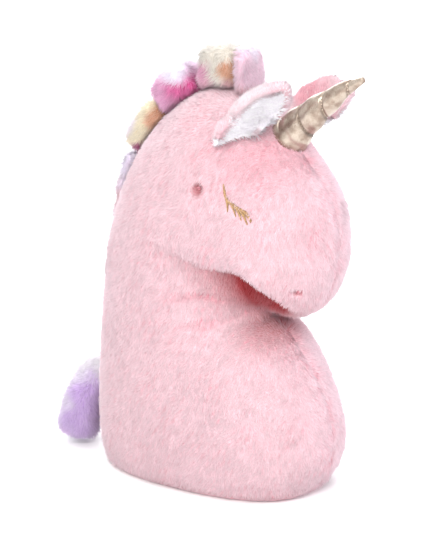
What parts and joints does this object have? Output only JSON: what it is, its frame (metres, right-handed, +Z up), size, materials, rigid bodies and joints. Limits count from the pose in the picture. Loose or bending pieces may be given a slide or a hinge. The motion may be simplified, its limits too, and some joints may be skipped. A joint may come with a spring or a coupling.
{
  "type": "plush unicorn",
  "caption": "Stuffed plush bust of a sleeping unicorn that stands on a flat oval base, with a twisted gold horn, soft ears, a tufted mane and a short tail.",
  "frame": {"origin": "centre of the flat oval base that the toy rests on", "axes": "+X the way the unicorn faces, +Y its own left, +Z up"},
  "size_m": [0.3195, 0.1472, 0.393],
  "materials": {
    "pink_plush": "short pile plush",
    "white_plush": "short pile plush",
    "filling": "loose fibre",
    "thread": "matt thread",
    "lash_thread": "satin stitch",
    "gold_fabric": "metallic",
    "blush_plush": "short pile plush",
    "cream_plush": "short pile plush",
    "magenta_plush": "short pile plush",
    "yellow_plush": "short pile plush",
    "lavender_plush": "short pile plush",
    "purple_plush": "short pile plush"
  },
  "bodies": {
    "bust": {"right_side_panel": "pink_plush", "left_side_panel": "pink_plush", "base_panel": "pink_plush", "body_filling": "filling", "eye_pull_thread": "thread", "mouth_pull_thread": "thread", "right_eye_embroidery": "lash_thread", "left_eye_embroidery": "lash_thread", "nape_strip": "lavender_plush"},
    "tail": {"tail_cover": "purple_plush", "tail_filling": "filling"},
    "horn": {"horn_cover": "gold_fabric", "horn_filling": "filling", "horn_thread": "gold_fabric"},
    "right_ear": {"right_ear_outer": "pink_plush", "right_ear_lining": "white_plush"},
    "left_ear": {"left_ear_outer": "pink_plush", "left_ear_lining": "white_plush"},
    "forelock_flap": {"forelock_flap": "blush_plush"},
    "forelock_tuft": {"forelock_tuft_cover": "cream_plush", "forelock_tuft_filling": "filling"},
    "crest_tuft": {"crest_tuft_cover": "magenta_plush", "crest_tuft_filling": "filling"},
    "nape_tuft": {"nape_tuft_cover": "yellow_plush", "nape_tuft_filling": "filling"}
  },
  "joints": [
    {"name": "tail_swing", "type": "hinge", "parent": "bust", "child": "tail", "pos_m": [-0.1252, 0, 0.076], "axis": [0, 0, 1], "range_deg": [-55, 22], "stiffness_Nm_per_rad": 0.03},
    {"name": "horn_tilt", "type": "hinge", "parent": "bust", "child": "horn", "pos_m": [0.069, 0, 0.3166], "axis": [0, 1, 0], "range_deg": [-4, 4], "stiffness_Nm_per_rad": 0.3},
    {"name": "right_ear_flop", "type": "hinge", "parent": "bust", "child": "right_ear", "pos_m": [0.04225, -0.0435, 0.3195], "axis": [0.7167, 0.6616, 0.2205], "range_deg": [-8, 15], "stiffness_Nm_per_rad": 0.03},
    {"name": "left_ear_flop", "type": "hinge", "parent": "bust", "child": "left_ear", "pos_m": [0.04225, 0.0435, 0.3195], "axis": [0.7167, -0.6616, 0.2205], "range_deg": [-9, 8], "stiffness_Nm_per_rad": 0.03},
    {"name": "forelock_flap_sway", "type": "hinge", "parent": "bust", "child": "forelock_flap", "pos_m": [0.0278, 0, 0.3525], "axis": [1, 0, 0], "range_deg": [-5, 5], "stiffness_Nm_per_rad": 0.03},
    {"name": "forelock_sway", "type": "hinge", "parent": "bust", "child": "forelock_tuft", "pos_m": [0.0025, 0, 0.357], "axis": [1, 0, 0], "range_deg": [-5, 5], "stiffness_Nm_per_rad": 0.05},
    {"name": "crest_sway", "type": "hinge", "parent": "bust", "child": "crest_tuft", "pos_m": [-0.0356, 0, 0.3375], "axis": [0.87, 0, 0.4931], "range_deg": [-5, 5], "stiffness_Nm_per_rad": 0.05},
    {"name": "nape_sway", "type": "hinge", "parent": "bust", "child": "nape_tuft", "pos_m": [-0.0694, 0, 0.304], "axis": [0.6, 0, 0.8], "range_deg": [-5, 5], "stiffness_Nm_per_rad": 0.05}
  ]
}
